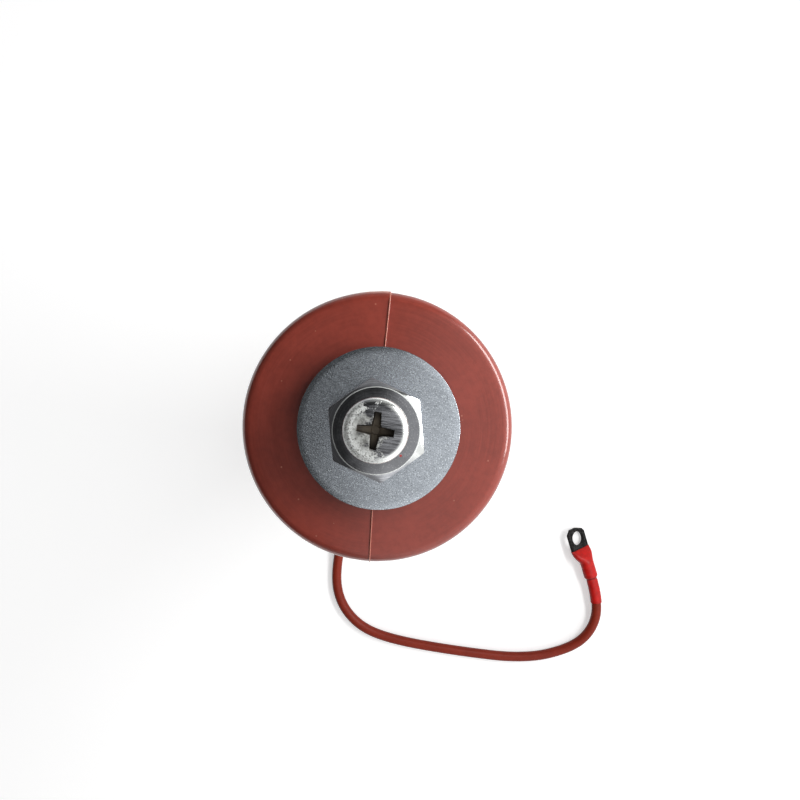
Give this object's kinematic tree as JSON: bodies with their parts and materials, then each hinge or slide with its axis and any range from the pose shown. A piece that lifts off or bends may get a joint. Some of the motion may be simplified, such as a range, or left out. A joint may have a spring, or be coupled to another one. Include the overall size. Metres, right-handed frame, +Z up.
{
  "type": "distribution surge arrester",
  "caption": "Slim polymer-housed surge arrester with ringed weather sheds, a bolted top terminal and an insulated base lead ending in a lug.",
  "frame": {"origin": "centre of the base face, on the surface that the arrester stands on and that its lead lies on", "axes": "+Z up along the arrester's axis towards the top terminal; the lead runs out towards -Y and ends in its lug towards +X"},
  "size_m": [0.126, 0.1469, 0.2417],
  "materials": {
    "housing_rubber": "satin moulded silicone",
    "glass_fibre": "wound glass fibre and resin",
    "electrode_metal": "turned",
    "pin_steel": "plain",
    "varistor_ceramic": "matte",
    "contact_metal": "plain",
    "spring_steel": "oiled",
    "terminal_steel": "polished and worn",
    "terminal_zinc": "matte zinc plated",
    "lead_rubber": "matte silicone insulation",
    "strand_metal": "tinned strands",
    "relief_rubber": "matte",
    "sleeve_plastic": "shrunk sleeve, satin",
    "lug_metal": "darkened tin plate"
  },
  "bodies": {
    "root": {"silicone_housing": "housing_rubber", "glass_fibre_tube": "glass_fibre", "bottom_electrode": "electrode_metal", "top_electrode": "electrode_metal", "bottom_electrode_pins": "pin_steel", "top_electrode_pins": "pin_steel", "varistor_block_1": "varistor_ceramic", "varistor_block_2": "varistor_ceramic", "varistor_block_3": "varistor_ceramic", "varistor_block_4": "varistor_ceramic", "varistor_block_5": "varistor_ceramic", "contact_disc_1": "contact_metal", "contact_disc_2": "contact_metal", "contact_disc_3": "contact_metal", "contact_disc_4": "contact_metal", "spacer_block": "electrode_metal", "pressure_plate": "contact_metal", "disc_spring_lower": "spring_steel", "disc_spring_upper": "spring_steel", "terminal_stud": "terminal_steel", "terminal_washer": "terminal_zinc", "terminal_nut": "terminal_steel", "terminal_screw": "terminal_steel", "lead_cable": "lead_rubber", "lead_entry": "lead_rubber", "conductor_in_base": "strand_metal", "conductor_in_lug": "strand_metal", "lead_clamp_screw": "pin_steel", "lead_strain_relief": "relief_rubber", "lead_sleeve": "sleeve_plastic", "cable_lug": "lug_metal"}
  },
  "joints": []
}
